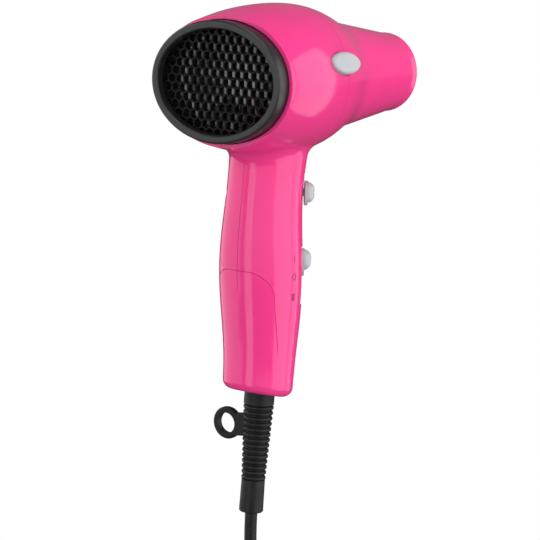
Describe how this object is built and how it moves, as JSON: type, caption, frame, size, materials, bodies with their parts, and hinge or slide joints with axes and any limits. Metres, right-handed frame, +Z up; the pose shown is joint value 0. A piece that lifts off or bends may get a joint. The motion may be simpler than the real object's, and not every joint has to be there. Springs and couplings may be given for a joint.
{
  "type": "hair dryer",
  "caption": "Hand-held hair dryer with an oval honeycomb intake, tapered barrel, slide switches, cool button and ribbed cord sleeve with hanging eye.",
  "frame": {"origin": "middle of the grip, on the handle axis, where a hand holds the dryer", "axes": "+Z up the handle, +Y the way the air blows, +X the side with the slide switches"},
  "size_m": [0.0923, 0.1671, 0.483],
  "materials": {
    "pink_housing": "gloss moulded ABS",
    "black_plastic": "satin moulded plastic",
    "grey_plastic": "satin moulded plastic",
    "black_rubber": "soft PVC",
    "steel": "plated steel",
    "brass": "plain brass",
    "mica": "pressed mica sheet",
    "heating_wire": "nickel-chrome wire",
    "white_plastic": "plain moulded nylon",
    "circuit_board": "paper laminate board",
    "lead_cover": "insulated lead",
    "ceramic": "fired ceramic"
  },
  "bodies": {
    "dryer": {"left_shell": "pink_housing", "right_shell": "pink_housing", "barrel_shell": "pink_housing", "grip_panel": "pink_housing", "intake_ring": "black_plastic", "intake_grille": "black_plastic", "grille_keeper": "black_plastic", "fan_duct": "white_plastic", "motor": "steel", "motor_board": "circuit_board", "heating_coil": "heating_wire", "mica_plate_upright": "mica", "mica_plate_level": "mica", "heat_shield": "mica", "thermostat": "ceramic", "thermal_fuse": "steel", "outlet_grille": "black_plastic", "speed_switch": "black_plastic", "heat_switch": "black_plastic", "switch_board": "circuit_board", "cool_switch": "black_plastic", "cord_clamp": "white_plastic", "clamp_screws": "steel", "shell_screws": "steel", "inner_wires": "lead_cover", "strain_relief": "black_rubber", "cord": "black_rubber", "cord_tail": "black_rubber", "cord_coil": "black_rubber", "coil_tie": "black_rubber", "plug_body": "black_rubber", "plug_blades": "brass"},
    "rotor": {"fan": "white_plastic", "motor_shaft": "steel"},
    "speed_knob": {"speed_knob": "grey_plastic"},
    "heat_knob": {"heat_knob": "grey_plastic"},
    "cool_button": {"cool_button": "grey_plastic"}
  },
  "joints": [
    {"name": "fan_spin", "type": "hinge", "parent": "dryer", "child": "rotor", "pos_m": [0, -0.02, 0.105], "axis": [0, 1, 0], "continuous": true},
    {"name": "speed_slide", "type": "slide", "parent": "dryer", "child": "speed_knob", "axis": [0, 0, 1], "range_m": [-0.014, 0]},
    {"name": "heat_slide", "type": "slide", "parent": "dryer", "child": "heat_knob", "axis": [0, 0, 1], "range_m": [-0.004, 0.004]},
    {"name": "cool_press", "type": "slide", "parent": "dryer", "child": "cool_button", "axis": [0.9523, 0.05, 0.3011], "range_m": [-0.002, 0], "stiffness_N_per_m": 400}
  ]
}
